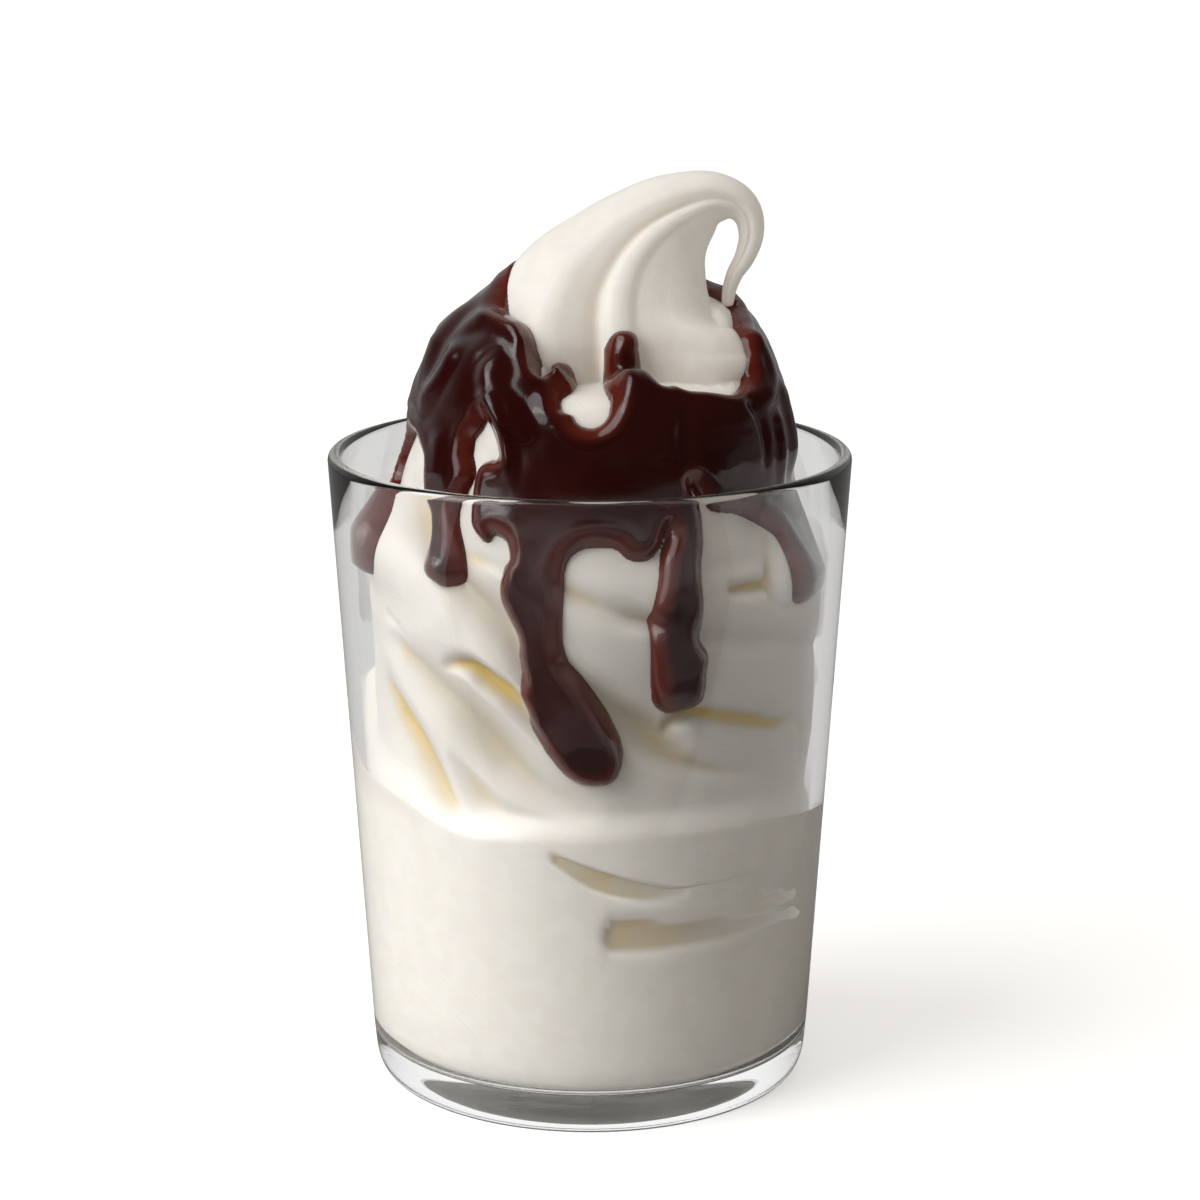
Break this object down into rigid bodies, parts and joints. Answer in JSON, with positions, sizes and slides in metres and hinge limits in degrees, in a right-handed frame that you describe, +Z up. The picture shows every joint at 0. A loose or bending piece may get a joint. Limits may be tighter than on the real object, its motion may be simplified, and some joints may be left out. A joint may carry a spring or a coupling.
{
  "type": "hot fudge sundae",
  "caption": "Soft-serve ice cream in a clear glass tumbler, ridged swirl with a hooked peak, coated in dark hot fudge that runs down in drips.",
  "frame": {"origin": "centre of the tumbler's underside, on the surface it stands on", "axes": "+Z up, -Y to the front of the picture, +X to its right, where the peak leans"},
  "size_m": [0.0858, 0.0858, 0.1513],
  "materials": {
    "glass": "clear, polished, no tint",
    "soft_serve": "off-white milk ice, softly matt, yellow in the creases",
    "hot_fudge": "very dark red-brown, wet gloss"
  },
  "bodies": {
    "root": {"glass": "glass", "soft_serve": "soft_serve", "hot_fudge": "hot_fudge"}
  },
  "joints": []
}
